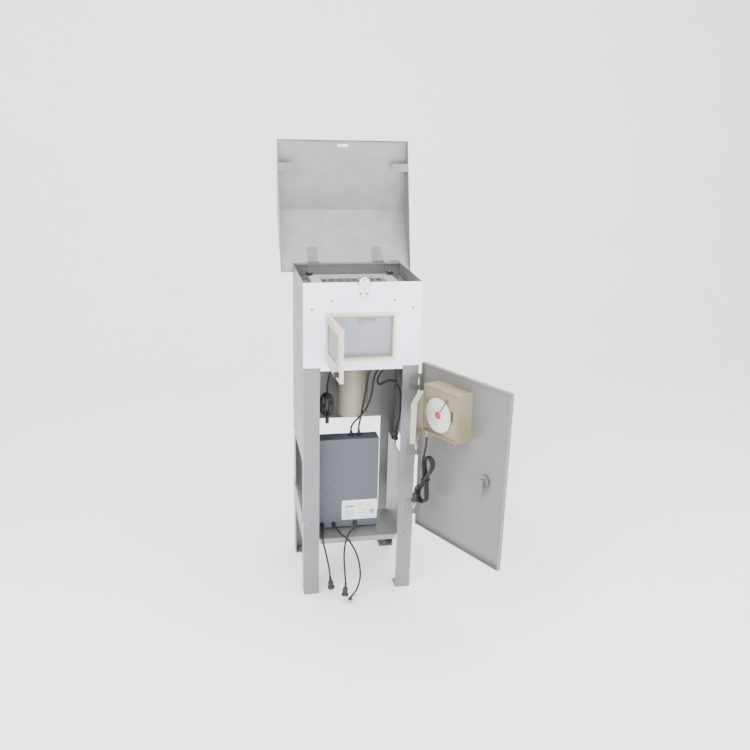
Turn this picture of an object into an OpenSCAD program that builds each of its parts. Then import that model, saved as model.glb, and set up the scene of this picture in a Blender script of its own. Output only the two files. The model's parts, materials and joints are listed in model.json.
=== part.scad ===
/* [Shelter] */
// Overall width across the side panels
body_w = 394; // [350:1:470]
// Overall depth across the front and back panels
body_d = 356; // [320:1:430]
// Height of the shelter without its lid
body_h = 1148; // [1000:1:1370]
// Thickness of the shelter's sheet metal
sheet = 1.6; // [1.2:0.1:2.2]
// Width of each flange of the corner legs
leg_flange = 54; // [42:1:64]
// Thickness of the corner legs
leg_t = 2.5; // [2:0.1:3.5]
// Height of the bottom edge of the side panels
side_panel_z = 510; // [420:1:600]
// Height of the bottom edge of the back panel
back_panel_z = 544; // [440:1:650]
// Height of the bottom edge of the front panel
front_panel_z = 861; // [850:1:875]
// Diameter of each anchor hole
anchor_d = 11; // [9:0.5:14]

/* [Lid] */
// Width of the lid over its gable ends
lid_w = 478; // [440:1:570]
// Distance from the hinge to the front rim
lid_front = 435; // [400:1:520]
// Distance from the hinge to the rear edge
lid_rear = 36; // [30:1:43]
// Height of the ridge over the hinge
ridge_h = 105; // [85:1:126]
// Angle at which the lid stands open
lid_open = 104.25; // [95:0.25:106]

/* [Front door] */
// Width of the front door
door_w = 404; // [380:1:420]
// Height of the door's bottom edge
door_z = 260; // [248:1:290]
// Height of the door's top edge
door_top = 870; // [855:1:876]
// Depth of the door's folded edge
door_depth = 15.5; // [13:0.5:18]
// Angle at which the front door stands open
door_open = 118; // [90:1:125]

/* [Chart recorder] */
// Width of the recorder's case
rec_w = 160; // [140:1:192]
// Height of the recorder's case
rec_h = 164; // [145:1:180]
// Depth of the recorder's case
rec_depth = 66; // [55:1:72]
// Diameter of the paper chart
chart_d = 118; // [98:1:126]
// Angle at which the recorder's door stands open
rec_open = 52; // [20:1:90]
// Width of the chart recorder's door
rec_door_w = 132; // [126:1:150]
// Height of the chart recorder's door
rec_door_h = 138; // [132:1:158]
// Depth of the chart recorder's door
rec_door_t = 18; // [12:1:19]

/* [Control box] */
// Width of the control box's rim
ctl_w = 222; // [200:1:240]
// Height of the control box's rim
ctl_h = 166; // [140:1:176]
// Depth of the recess in front of the control plate
ctl_recess = 25; // [20:1:30]
// Angle at which the control box's door stands open
ctl_open = 86; // [60:1:95]

/* [Filter holder and blower] */
// Width of the filter opening
filter_w = 229; // [190:1:240]
// Depth of the filter opening
filter_d = 178; // [150:1:190]
// Outside diameter of the blower housing
blower_d = 110; // [95:1:130]
// Height of the blower housing
blower_h = 228; // [205:1:240]
// Diameter of the motor shaft
shaft_d = 8; // [6:0.5:10]

/* [Flow controller] */
// Width of the flow controller
flow_w = 222; // [185:1:225]
// Depth of the flow controller
flow_d = 60; // [50:1:72]
// Height of the flow controller
flow_h = 343; // [286:1:400]

/* [Hidden] */
$fn = 32;
gap = 0.4;          // clearance between pieces that do not run on each other
running = 0.05;     // radial clearance of every pin and shaft
x_out = body_w / 2;
y_out = body_d / 2;
leg_x = x_out - sheet;
leg_y = y_out - sheet;
leg_h = body_h - 3;
foot_t = 3;
anchor_x = leg_x - leg_flange / 2;
anchor_y = leg_y - leg_flange / 2;

// Screws: shank, head and the places where they sit
screw_r = 2;
head_r = 4;
head_t = 2.2;
leg_screw_x = leg_x - leg_flange / 2;
side_screw_y = leg_y - leg_flange / 2;
panel_screws = [[-104, 1087], [104, 1087], [-leg_screw_x, 1061], [leg_screw_x, 1061]];
tray_screws = [[-leg_screw_x, 514], [-leg_screw_x, 280], [-leg_screw_x, 225],
  [leg_screw_x, 514], [leg_screw_x, 280], [leg_screw_x, 225]];
side_screw_z = [1045, 834, 635];
rail_screw_z = 282;
back_screws = [[-leg_screw_x, 1085], [leg_screw_x, 1085], [-leg_screw_x, 820],
  [leg_screw_x, 820], [-leg_screw_x, 565], [leg_screw_x, 565]];

// Deck and filter holder
deck_z = body_h - 44;
gasket_t = 3;
frame_t = 9;
frame_z = deck_z + gasket_t;
frame_w = filter_w + 71;
frame_d = filter_d + 58;
bolt_x = frame_w / 2 - 5;
bolt_y = filter_d / 2 + 16;
bolt_r = 3;
bolt_top = frame_z + frame_t + 14;
pivot_z = deck_z - 12;
pivot_r = 2.5;
bolt_swing = 35;
knob_z = frame_z + frame_t + 1;

// Blower
blower_r = blower_d / 2;
blower_z = 632;
blower_wall = 2;
blower_top = blower_z + blower_h;
shaft_r = shaft_d / 2;
bearing_r = 10;

// Control box
ctl_z = 882;
ctl_y = -y_out - 6;
ctl_body_w = ctl_w - 12;
ctl_body_h = ctl_h - 6;
ctl_mid = ctl_z + ctl_h / 2;
ctl_back = ctl_y + ctl_recess + 12;
ctl_hinge_x = -ctl_w / 2 - 4;
ctl_hinge_y = ctl_y - 2;
ctl_door_w = ctl_w;
ctl_door_t = 12;
ctl_pin_r = 1.5;

// Lid
lid_y = y_out + 4;
lid_z = body_h + 2;
lid_t = 1.6;
ridge_s = (lid_front - lid_rear) / 2;
rear_n = 6;
skirt = 13.5;
lid_hinge_x = 120;
lid_knuckle_r = 3.2;
lid_pin_r = 1.6;
slot_s = lid_front - 15;

// Front door
door_x = x_out + 5;
door_y = -y_out - 2;
door_skin = 20;
door_knuckle_r = 3.5;
door_pin_r = 1.8;
door_hinge_z = [330, 560, 800];
latch_s = 312;
latch_z = 545;
latch_r = 7;

// Recorder, in the door's own directions: s from the hinge, depth towards the shelter
rec_s = 75;
rec_z = 660;
rec_back = door_skin - sheet;
rec_front = rec_depth - rec_back;
rec_wall = 3;
chart_gap = 1.5;
chart_s = rec_s + rec_wall + chart_gap + chart_d / 2;
chart_z = rec_z + rec_wall + 8 + chart_d / 2;
chart_t = 0.8;
plate_y = -rec_front + 12;
pen_lean = 33;
pen_reach = chart_d / 2 + 11;
pen_s = chart_s + pen_reach * sin(pen_lean);
pen_z = chart_z + pen_reach * cos(pen_lean);
pen_l = pen_reach - 18;
rec_pin_r = 1.2;
rec_knuckle_r = 2.5;
rec_knuckle_z = [12, rec_door_h - 32];

// Flow controller and tray
tray_z = 221;
tray_half = 144;
tray_back = 22;
tray_wall_top = 540;
lip_h = 19;
foot_h = 6;
flow_x = -141;
flow_y = -105;
flow_z = tray_z + foot_h;
flow_top = flow_z + flow_h;

// Cords
cord_d = 7;
gland_r = 8;
relief_h = 22;
relief_set = 2;       // depth of the cord's seat in the end of a strain relief
ctl_gland_y = ctl_back - 14;
ctl_under = ctl_mid - ctl_body_h / 2;
ctl_gland_x = [-100, 40, 62, 84];
flow_gland_x = [-16, 12];
flow_gland_y = -75;
front_gland_x = [-122, -80, -2];
front_gland_z = 241;
motor_route = [[40, -161, 865], [40, -153, 851], [39, -132, 832], [38, -109, 812], [36, -92, 783],
  [33, -83, 745], [28, -78, 705], [22, -75, 665], [16, -75, 630], [12, -75, 606], [12, -75, 590]];
signal_route = [[62, -161, 865], [62, -153, 851], [62, -132, 832], [60, -111, 811], [57, -95, 780],
  [53, -91, 740], [44, -90, 700], [29, -88, 668], [8, -86, 642], [-8, -80, 622], [-15, -76, 606],
  [-16, -75, 590]];
outlet_route = [[84, -161, 865], [84, -153, 851], [82, -131, 831], [77, -107, 808], [72, -90, 780],
  [80, -80, 762], [97, -78, 768], [117, -77, 775], [138, -77, 768], [153, -77, 745], [159, -77, 710],
  [160, -77, 670], [158, -77, 630], [152, -77, 596]];
hank_route = [[-100, -161, 865], [-100, -154, 850], [-101, -130, 825], [-102, -104, 797],
  [-103, -84, 768], [-102, -77, 740]];
route_a = [[-80, -125, 241], [-79, -136, 241], [-70, -152, 237], [-60, -170, 230], [-48, -184, 226],
  [-34, -196, 213], [-20, -204, 190], [-8, -209, 160], [0, -212, 125], [3, -214, 90], [0, -216, 60],
  [-9, -220, 35], [-20, -225, 20], [-32, -231, 10]];
route_b = [[-2, -125, 241], [-5, -138, 242], [-17, -156, 242], [-32, -176, 240], [-44, -193, 230],
  [-52, -204, 208], [-56, -211, 180], [-57, -219, 150], [-56, -227, 120], [-55, -235, 95],
  [-54, -241, 76]];
route_c = [[-122, -125, 241], [-123, -138, 240], [-126, -152, 237], [-130, -170, 230],
  [-130, -187, 222], [-126, -200, 203], [-120, -206, 175], [-114, -209, 145], [-109, -211, 115],
  [-106, -212, 88]];
rec_cord_route = [[12, -38, 640], [12, -38, 624], [12, -40, 600], [11, -45, 575], [10, -49, 552]];
hank_at = [51, -52, 580];   // top of the recorder's hank, on the door
hank_lean = 13.5;
hank_w = 50;
hank_h = 190;
hank_t = 30;
plug_at = [8, -76, 452];

function unit(v) = v / norm(v);
function tangents(p) = [for (i = [0:len(p) - 1])
  unit(p[min(i + 1, len(p) - 1)] - p[max(i - 1, 0)])];
function flatten_to(n, t) = unit(n - (n * t) * t);
function side_dirs(t, list) = len(list) == len(t) ? list
  : side_dirs(t, concat(list, [flatten_to(list[len(list) - 1], t[len(list)])]));

// A round cord swept through the points of a route
module cord(route, r, sides = 8) {
  t = tangents(route);
  first = flatten_to(abs(t[0].z) < 0.9 ? [0, 0, 1] : [1, 0, 0], t[0]);
  side = side_dirs(t, [first]);
  rings = [for (i = [0:len(route) - 1]) for (k = [0:sides - 1])
    route[i] + r * (cos(360 * k / sides) * side[i] + sin(360 * k / sides) * cross(t[i], side[i]))];
  last = (len(route) - 1) * sides;
  walls = [for (i = [0:len(route) - 2]) for (k = [0:sides - 1])
    [i * sides + k, (i + 1) * sides + k, (i + 1) * sides + (k + 1) % sides, i * sides + (k + 1) % sides]];
  caps = [[for (k = [0:sides - 1]) k], [for (k = [0:sides - 1]) last + sides - 1 - k]];
  polyhedron(points = rings, faces = concat(caps, walls));
}

// A cylinder along X or Y
module rod_x(r, h) rotate([0, 90, 0]) cylinder(r = r, h = h);
module rod_y(r, h) rotate([-90, 0, 0]) cylinder(r = r, h = h);

// A side profile, drawn as distance to the front and height, made w wide and centred on x = 0
module along_x(w) translate([w / 2, 0, 0]) rotate([90, 0, -90]) linear_extrude(w) children();

// Places on the moving frames
module on_lid() translate([0, lid_y, lid_z]) rotate([-lid_open, 0, 0]) children();
module on_door() translate([door_x, door_y, 0]) rotate([0, 0, 180 + door_open]) children();
module on_rec_door() on_door() translate([rec_s, -rec_front - 3, 0]) rotate([0, 0, -rec_open]) children();
module on_ctl_door() translate([ctl_hinge_x, ctl_hinge_y, 0]) rotate([0, 0, -ctl_open]) children();

// Holes for the screws of one face
module holes_y(places, y, depth)
  for (p = places) translate([p.x, y, p.y]) rod_y(screw_r + running, depth);
module side_holes(z_list, deep)
  for (z = z_list, y = [-side_screw_y, side_screw_y]) translate([-deep, y, z]) rod_x(screw_r + running, 2 * deep);

// Corner leg with its foot, for the corner at +X +Y
module leg() {
  translate([leg_x - leg_flange, leg_y - leg_t, 0]) cube([leg_flange, leg_t, leg_h]);
  translate([leg_x - leg_t, leg_y - leg_flange, 0]) cube([leg_t, leg_flange, leg_h]);
  difference() {
    translate([leg_x - leg_flange, leg_y - leg_flange, 0]) cube([leg_flange, leg_flange, foot_t]);
    translate([anchor_x, anchor_y, -1]) cylinder(r = anchor_d / 2, h = foot_t + 2);
  }
}
module corner_leg(left, front) color("gainsboro") difference() {
  mirror([left ? 1 : 0, 0, 0]) mirror([0, front ? 1 : 0, 0]) leg();
  if (front) holes_y(concat(tray_screws, panel_screws), -y_out, 6);
  if (!front) holes_y(back_screws, y_out - 6, 6);
  side_holes(concat(side_screw_z, [rail_screw_z]), x_out);
}
module leg_front_left() corner_leg(true, true);
module leg_front_right() corner_leg(false, true);
module leg_back_left() corner_leg(true, false);
module leg_back_right() corner_leg(false, false);

module front_panel() color("whitesmoke") difference() {
  union() {
    translate([-x_out, -y_out, front_panel_z]) cube([body_w, sheet, body_h - front_panel_z]);
    translate([-leg_x + leg_flange + 2, -leg_y, front_panel_z - 12])
      cube([2 * (leg_x - leg_flange - 2), sheet, 24]);
  }
  translate([-ctl_body_w / 2 - gap, -y_out - 1, ctl_under - gap])
    cube([ctl_body_w + 2 * gap, 2 * sheet + 2, ctl_body_h + 2 * gap]);
  translate([0, -y_out + 5, 0]) rotate([90, 0, 0]) linear_extrude(10)
    polygon([[-21, body_h + 1], [-16, body_h - 22], [16, body_h - 22], [21, body_h + 1]]);
  holes_y(panel_screws, -y_out - 1, 6);
  holes_y([[-10, body_h - 38], [10, body_h - 38]], -y_out - 1, 6);
}

module side_panel(left) color("gainsboro") mirror([left ? 1 : 0, 0, 0]) difference() {
  translate([leg_x, -leg_y, side_panel_z]) cube([sheet, 2 * leg_y, body_h - side_panel_z]);
  side_holes(side_screw_z, x_out + 1);
}
module side_panel_left() side_panel(true);
module side_panel_right() side_panel(false);

lug_w = 35;
lug_r = 6;
module back_panel() color("gainsboro") difference() {
  union() {
    translate([-x_out, leg_y, back_panel_z]) cube([body_w, sheet, body_h - back_panel_z]);
    translate([-leg_x + 6, leg_y - 27, body_h - sheet]) cube([2 * leg_x - 12, 27.5, sheet]);
    translate([x_out - lug_w - 1, y_out, body_h - lug_r]) rotate([90, 0, 0]) linear_extrude(sheet) {
      square([lug_w, 2 * lug_r]);
      translate([lug_r, 2 * lug_r]) square([lug_w - 2 * lug_r, 2]);
      for (x = [lug_r, lug_w - lug_r]) translate([x, 2 * lug_r - 4]) circle(r = lug_r);
    }
  }
  holes_y(back_screws, y_out - 6, 8);
}

module side_rails() color("silver") for (m = [0, 1]) mirror([m, 0, 0]) difference() {
  union() {
    translate([leg_x, -leg_y, tray_z - 18]) cube([sheet, 2 * leg_y, 97]);
    translate([leg_x - 12, -leg_y + leg_flange + 2, tray_z + 79 - sheet])
      cube([12.5, 2 * (leg_y - leg_flange - 2), sheet]);
  }
  side_holes([rail_screw_z], x_out + 1);
}

module controller_tray() color("silver") {
  lip_half = leg_x - leg_flange - 3;
  difference() {
    union() {
      translate([-lip_half, -leg_y, tray_z - sheet]) cube([2 * lip_half, 12, sheet]);
      translate([-lip_half, -leg_y, tray_z - lip_h]) cube([2 * lip_half, sheet, lip_h]);
      translate([-tray_half, -leg_y + leg_t, tray_z - sheet])
        cube([2 * tray_half, leg_y - leg_t + tray_back, sheet]);
      for (m = [0, 1]) mirror([m, 0, 0]) {
        translate([tray_half - sheet, -leg_y + leg_t, tray_z - sheet])
          cube([sheet, leg_y - leg_t + tray_back, tray_wall_top - tray_z]);
        translate([tray_half - sheet, -leg_y + leg_t, tray_z - sheet])
          cube([leg_x - leg_t - gap - tray_half + sheet, sheet, tray_wall_top - tray_z]);
      }
    }
    holes_y(tray_screws, -y_out, 8);
  }
}

module screw() {
  translate([0, 0, -5]) cylinder(r = screw_r, h = 5.5);
  difference() {
    cylinder(r = head_r, h = head_t);
    translate([-head_r - 1, -0.5, head_t - 0.8]) cube([2 * head_r + 2, 1, 2]);
  }
}
module frame_screws() color("darkgray") {
  for (p = panel_screws) translate([p.x, -y_out, p.y]) rotate([90, 0, 0]) screw();
  for (p = tray_screws) translate([p.x, -leg_y, p.y]) rotate([90, 0, 0]) screw();
  for (p = back_screws) translate([p.x, y_out, p.y]) rotate([-90, 0, 0]) screw();
  for (m = [0, 1]) mirror([m, 0, 0])
    for (y = [-side_screw_y, side_screw_y], z = concat(side_screw_z, [rail_screw_z]))
      translate([x_out, y, z]) rotate([0, 90, 0]) screw();
  for (x = [-10, 10]) translate([x, -y_out - 2, body_h - 38]) rotate([90, 0, 0]) screw();
}

module catch_bracket() color("lightgray") difference() {
  union() {
    translate([-18, -y_out - 2, body_h - 57]) cube([36, 2, 57]);
    translate([-16.5, -y_out - 14, body_h - 1.5]) cube([33, 14, 2]);
    translate([-16.5, -y_out - 14, body_h - 1.5]) cube([33, 2, 14]);
    translate([0, -y_out - 14, body_h + 7]) rod_y(12, 2);
  }
  translate([0, -y_out - 15, body_h + 10]) rod_y(3, 4);
  for (x = [-10, 10]) translate([x, -y_out - 3, body_h - 38]) rod_y(screw_r + running, 4);
}

module hinge_bases() color("darkgray") {
  for (x = [-lid_hinge_x, lid_hinge_x]) translate([x, lid_y, lid_z]) {
    for (dx = [-19, 9.4]) translate([dx, 0, 0]) rod_x(lid_knuckle_r, 9.6);
    for (dx = [-19, 9.4]) translate([dx, -4.5, body_h - lid_z]) cube([9.6, 3.5, sheet]);
    translate([-19, -32, body_h - lid_z]) cube([38, 28, sheet]);
    translate([-20, 0, 0]) rod_x(lid_pin_r, 40);
  }
  for (z = door_hinge_z) translate([door_x, door_y, z]) {
    for (dz = [-30, 10.4]) translate([0, 0, dz]) cylinder(r = door_knuckle_r, h = 19.6);
    for (dz = [-30, 10.4]) translate([-8, 2, dz]) cube([6.5, sheet, 19.6]);
    translate([-37, 2, -30]) cube([31.5, sheet, 60]);
    translate([0, 0, -31]) cylinder(r = door_pin_r, h = 62);
  }
}

module filter_deck() color("gainsboro") {
  deck_x = leg_x - leg_t - gap;
  deck_y = leg_y - leg_t - gap;
  difference() {
    union() {
      translate([-deck_x, -deck_y, deck_z - sheet]) cube([2 * deck_x, 2 * deck_y, sheet]);
      for (m = [0, 1]) mirror([0, m, 0])
        translate([-leg_x + leg_flange + 3, -leg_y, deck_z - 30])
          cube([2 * (leg_x - leg_flange - 3), sheet, 30]);
      for (m = [0, 1]) mirror([0, m, 0])
        translate([-leg_x + leg_flange + 3, -leg_y, deck_z - sheet])
          cube([2 * (leg_x - leg_flange - 3), 5, sheet]);
    }
    translate([-filter_w / 2, -filter_d / 2, deck_z - 5]) cube([filter_w, filter_d, 10]);
    for (x = [-1, 1], y = [-1, 1]) translate([x * (bolt_x + 14), y * bolt_y, deck_z])
      cube([42, 13, 10], center = true);
    holes_y(panel_screws, -y_out, 6);
  }
}

// A flat rectangular ring
module ring(w, d, inner_w, inner_d, h) linear_extrude(h) difference() {
  square([w, d], center = true);
  square([inner_w, inner_d], center = true);
}
module filter_gasket() color("black") translate([0, 0, deck_z])
  ring(filter_w + 30, filter_d + 30, filter_w, filter_d, gasket_t);

screen_bars = 7;
module filter_screen() color("silver") translate([0, 0, deck_z - sheet]) {
  w = filter_w - 2 * gap;
  d = filter_d - 2 * gap;
  ring(w, d, w - 10, d - 10, 3.5);
  for (i = [1:screen_bars]) translate([-w / 2 + i * w / (screen_bars + 1) - 1, -d / 2 + 2, 1])
    cube([2, d - 4, 1.5]);
  for (i = [1:screen_bars - 2]) translate([-w / 2 + 2, -d / 2 + i * d / (screen_bars - 1) - 1, 1])
    cube([w - 4, 2, 1.5]);
}

module hold_down_frame() color("lightgray") translate([0, 0, frame_z]) difference() {
  ring(frame_w, frame_d, filter_w, filter_d, frame_t);
  for (x = [-1, 1], y = [-1, 1]) translate([x * (bolt_x + 5), y * bolt_y, frame_t / 2])
    cube([18, 9, frame_t + 2], center = true);
}

module bolt_brackets() color("darkgray")
  for (x = [-1, 1], y = [-1, 1]) translate([x * bolt_x, y * bolt_y, pivot_z]) {
    for (side = [-1, 1]) difference() {
      union() {
        translate([-7, side * 5.5 - 1.25, 0]) cube([14, 2.5, deck_z - sheet - pivot_z]);
        translate([0, side * 5.5 - 1.25, 0]) rod_y(7, 2.5);
        translate([-7, side > 0 ? 6 : -17, deck_z - sheet - pivot_z - 2]) cube([14, 11, 2]);
      }
      translate([0, side * 5.5 - 2, 0]) rod_y(pivot_r, 4);
    }
    translate([0, -7, 0]) rod_y(pivot_r, 14);
  }

module swing_bolt(sx, sy) color("silver") translate([sx * bolt_x, sy * bolt_y, 0]) {
  difference() {
    union() {
      translate([0, -3.5, pivot_z]) rod_y(5.5, 7);
      translate([0, 0, pivot_z + 4]) cylinder(r = bolt_r, h = bolt_top - pivot_z - 4);
    }
    translate([0, -5, pivot_z]) rod_y(pivot_r + running, 10);
  }
}
module swing_bolt_1() swing_bolt(-1, -1);
module swing_bolt_2() swing_bolt(1, -1);
module swing_bolt_3() swing_bolt(-1, 1);
module swing_bolt_4() swing_bolt(1, 1);

module bolt_knob(sx, sy) color("black") translate([sx * bolt_x, sy * bolt_y, knob_z]) difference() {
  union() {
    cylinder(r = 7, h = 10);
    for (k = [0:4]) rotate([0, 0, 72 * k]) translate([8, 0, 1]) cylinder(r = 4.5, h = 8);
  }
  translate([0, 0, -1]) cylinder(r = bolt_r + running, h = 13);
}
module bolt_knob_1() bolt_knob(-1, -1);
module bolt_knob_2() bolt_knob(1, -1);
module bolt_knob_3() bolt_knob(-1, 1);
module bolt_knob_4() bolt_knob(1, 1);

neck_r = 34;
neck_top = 905;
module funnel_form(grow, low, high) hull() {
  translate([-filter_w / 2 - grow, -filter_d / 2 - grow, high - 1])
    cube([filter_w + 2 * grow, filter_d + 2 * grow, 1]);
  translate([0, 0, low]) cylinder(r = neck_r - sheet + grow, h = 1);
}
module funnel() color("lightgray") {
  difference() {
    funnel_form(sheet, neck_top, deck_z - sheet);
    funnel_form(0, neck_top - 0.01, deck_z - sheet + 0.01);
  }
  translate([0, 0, blower_top]) difference() {
    union() {
      cylinder(r = blower_r + 4, h = 5);
      cylinder(r = neck_r, h = neck_top - blower_top + 1);
    }
    translate([0, 0, -1]) cylinder(r = neck_r - sheet, h = neck_top - blower_top + 3);
  }
}

module blower_housing() color("antiquewhite") translate([0, 0, blower_z]) difference() {
  union() {
    difference() {
      cylinder(r = blower_r, h = blower_h);
      translate([0, 0, blower_wall]) cylinder(r = blower_r - blower_wall, h = blower_h - 2 * blower_wall);
    }
    cylinder(r = bearing_r + 4, h = 18);
    translate([0, 0, blower_h - 6]) cylinder(r = blower_r + 4, h = 6);
  }
  translate([0, 0, 8]) cylinder(r = bearing_r, h = 12);
  translate([0, 0, blower_h - 8]) cylinder(r = neck_r - sheet, h = 10);
  for (k = [0:7]) rotate([0, 0, 45 * k]) translate([blower_r * 0.64, 0, -1]) cylinder(r = 6, h = blower_wall + 2);
}

stator_z = blower_z + 70;
stator_h = 62;
upper_bearing_z = blower_z + 150;
module motor_stator() color("dimgray") {
  translate([0, 0, stator_z]) difference() {
    cylinder(r = blower_r - blower_wall, h = stator_h);
    translate([0, 0, -1]) cylinder(r = blower_r - blower_wall - 20, h = stator_h + 2);
  }
  translate([0, 0, upper_bearing_z]) difference() {
    cylinder(r = blower_r - blower_wall, h = 10);
    translate([0, 0, -1]) cylinder(r = bearing_r, h = 12);
    for (k = [0:5]) rotate([0, 0, 60 * k]) translate([blower_r * 0.56, 0, -1]) cylinder(r = 9, h = 12);
  }
}
module motor_bearings() color("silver") for (z = [blower_z + 8, upper_bearing_z])
  translate([0, 0, z]) difference() {
    cylinder(r = bearing_r, h = 10);
    translate([0, 0, -1]) cylinder(r = shaft_r + running, h = 12);
  }
module motor_rotor() color("peru") translate([0, 0, blower_z]) {
  translate([0, 0, 9]) cylinder(r = shaft_r, h = 186);
  translate([0, 0, 72]) cylinder(r = blower_r - blower_wall - 22, h = 58);
  translate([0, 0, 40]) cylinder(r = 13, h = 22);
}
module impeller() color("silver") translate([0, 0, blower_z + 168]) difference() {
  union() {
    cylinder(r = blower_r - 8, h = 2);
    cylinder(r = shaft_r + 5, h = 16);
    for (k = [0:7]) rotate([0, 0, 45 * k]) translate([shaft_r + 3, -1, 1]) cube([blower_r - 12 - shaft_r, 2, 23]);
    translate([0, 0, 23]) difference() {
      cylinder(r = blower_r - 8, h = 2);
      translate([0, 0, -1]) cylinder(r = 26, h = 4);
    }
  }
  translate([0, 0, -1]) cylinder(r = shaft_r, h = 30);
}

module control_box() color("beige") difference() {
  union() {
    translate([-ctl_w / 2, ctl_y, ctl_z]) cube([ctl_w, 6, ctl_h]);
    translate([-ctl_body_w / 2, ctl_y + 5, ctl_under])
      cube([ctl_body_w, ctl_back - ctl_y - 5, ctl_body_h]);
    for (z = [ctl_z + 20, ctl_z + ctl_h - 40]) translate([ctl_hinge_x, ctl_hinge_y, z]) {
      for (dz = [0, 14.2]) translate([0, 0, dz]) {
        cylinder(r = 3, h = 6);
        translate([0, 1.2, 0]) cube([5, 1.8, 6]);
      }
      cylinder(r = ctl_pin_r, h = 20);
    }
  }
  translate([-ctl_body_w / 2 + 2, ctl_y - 1, ctl_under + 8])
    cube([ctl_body_w - 4, ctl_recess + 11, ctl_body_h - 17]);
}

module control_plate() color("silver") {
  plate_w = ctl_body_w - 4 - 2 * gap;
  plate_h = ctl_body_h - 17 - 2 * gap;
  translate([-plate_w / 2, ctl_y + ctl_recess, ctl_under + 8 + gap]) difference() {
    cube([plate_w, 10, plate_h]);
    translate([4, 2, 4]) cube([plate_w - 8, 9, plate_h - 8]);
  }
  for (x = [-1, 1], z = [ctl_under + 16, ctl_under + ctl_body_h - 17])
    translate([x * (plate_w / 2 - 8), ctl_y + ctl_recess - 1.5, z]) rod_y(3, 2);
}

ctl_win_w = 150;
ctl_win_h = 96;
module control_door() color("beige") on_ctl_door() {
  door_h = ctl_h + 2;
  difference() {
    union() {
      translate([3.6, -ctl_door_t + 1, ctl_z]) cube([ctl_door_w, ctl_door_t, door_h]);
      for (z = [ctl_z + 26.3, ctl_z + ctl_h - 33.7]) translate([0, 0, z]) difference() {
        union() {
          cylinder(r = 3, h = 7.6);
          translate([0, -3, 0]) cube([4, 3, 7.6]);
        }
        translate([0, 0, -1]) cylinder(r = ctl_pin_r + running, h = 10);
      }
    }
    translate([6.6, -ctl_door_t + 3, ctl_z + 3]) cube([ctl_door_w - 6, ctl_door_t, door_h - 6]);
    translate([ctl_door_w / 2 - ctl_win_w / 2 + 4, -ctl_door_t, ctl_mid - ctl_win_h / 2 + 10])
      cube([ctl_win_w, 4, ctl_win_h]);
    translate([ctl_door_w - 16, -ctl_door_t - 1, ctl_z + 24]) rod_y(4 + running, 6);
  }
}
module control_window() color("gray") on_ctl_door()
  translate([ctl_door_w / 2 - ctl_win_w / 2 - 2, -ctl_door_t + 3, ctl_mid - ctl_win_h / 2 + 4])
    cube([ctl_win_w + 12, 2.4, ctl_win_h + 12]);
module control_knob() color("black") on_ctl_door() translate([ctl_door_w - 16, -ctl_door_t, ctl_z + 24]) {
  translate([0, -14, 0]) rod_y(9, 14.6);
  translate([0, 0, 0]) rod_y(4, 7);
  translate([-4, 5, -4]) cube([8, 2.5, 18]);
}

module flow_controller() color("slategray") translate([flow_x, flow_y + 3, flow_z]) {
  difference() {
    cube([flow_w, flow_d - 3, flow_h]);
    translate([2, -1, 2]) cube([flow_w - 4, flow_d - 4, flow_h - 4]);
    for (x = flow_gland_x) translate([x - flow_x, flow_gland_y - flow_y - 3, flow_h - 3])
      cylinder(r = gland_r - 2, h = 6);
  }
  for (x = [12, flow_w - 32]) translate([x, 4, -foot_h]) cube([20, flow_d - 12, foot_h]);
}
module flow_cover() color("slategray") difference() {
  translate([flow_x, flow_y, flow_z]) cube([flow_w, 3, flow_h]);
  for (x = front_gland_x) translate([x, flow_y - 1, front_gland_z]) rod_y(gland_r - 2, 5);
}

// A strain relief: a collar and a tapered nose with a seat for the cord
module relief(h) difference() {
  union() {
    cylinder(r = gland_r, h = h * 0.35);
    cylinder(r1 = gland_r - 1.5, r2 = cord_d / 2 + 1.2, h = h);
  }
  translate([0, 0, h - relief_set]) cylinder(r = cord_d / 2, h = relief_set + 1);
}
module gland(h) {
  translate([0, 0, -2.9]) cylinder(r = gland_r - 2, h = 3);
  relief(h);
}
module cord_glands() color("black") {
  for (x = flow_gland_x) translate([x, flow_gland_y, flow_top]) gland(relief_h);
  for (x = ctl_gland_x) translate([x, ctl_gland_y, ctl_under]) rotate([180, 0, 0]) relief(relief_h);
  for (x = front_gland_x) translate([x, flow_y, front_gland_z]) rotate([90, 0, 0]) gland(relief_h);
}

module motor_cord() color("black") cord(motor_route, cord_d / 2);
module signal_cord() color("black") cord(signal_route, cord_d / 2);
module outlet_cord() color("black") cord(outlet_route, cord_d / 2);
module hank_cord() color("black") cord(hank_route, cord_d / 2);
module cord_a() color("black") cord(route_a, cord_d / 2);
module cord_b() color("black") cord(route_b, cord_d / 2);
module cord_c() color("black") cord(route_c, cord_d / 2);

// The outer form of a hank: two lobes hanging from their top, drawn together at the tie
module hank(w, h, t, tie) rotate([90, 0, 0]) translate([0, 0, -t / 2]) linear_extrude(t) {
  square_h = 6;
  for (m = [0, 1]) translate([0, m ? -h : 0]) mirror([0, m]) {
    translate([0, -w / 2]) circle(r = w / 2);
    polygon([[-w / 2 + 1, -w / 2 - square_h], [w / 2 - 1, -w / 2 - square_h], [tie / 2, -h / 2 - 1], [-tie / 2, -h / 2 - 1]]);
  }
}
module left_hank() color("black") translate([-103, -80, 653]) {
  cylinder(r1 = 17, r2 = 27, h = 14);
  translate([0, 0, 14]) cylinder(r = 27, h = 56);
  translate([0, 0, 70]) cylinder(r1 = 27, r2 = 17, h = 14);
}

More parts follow.
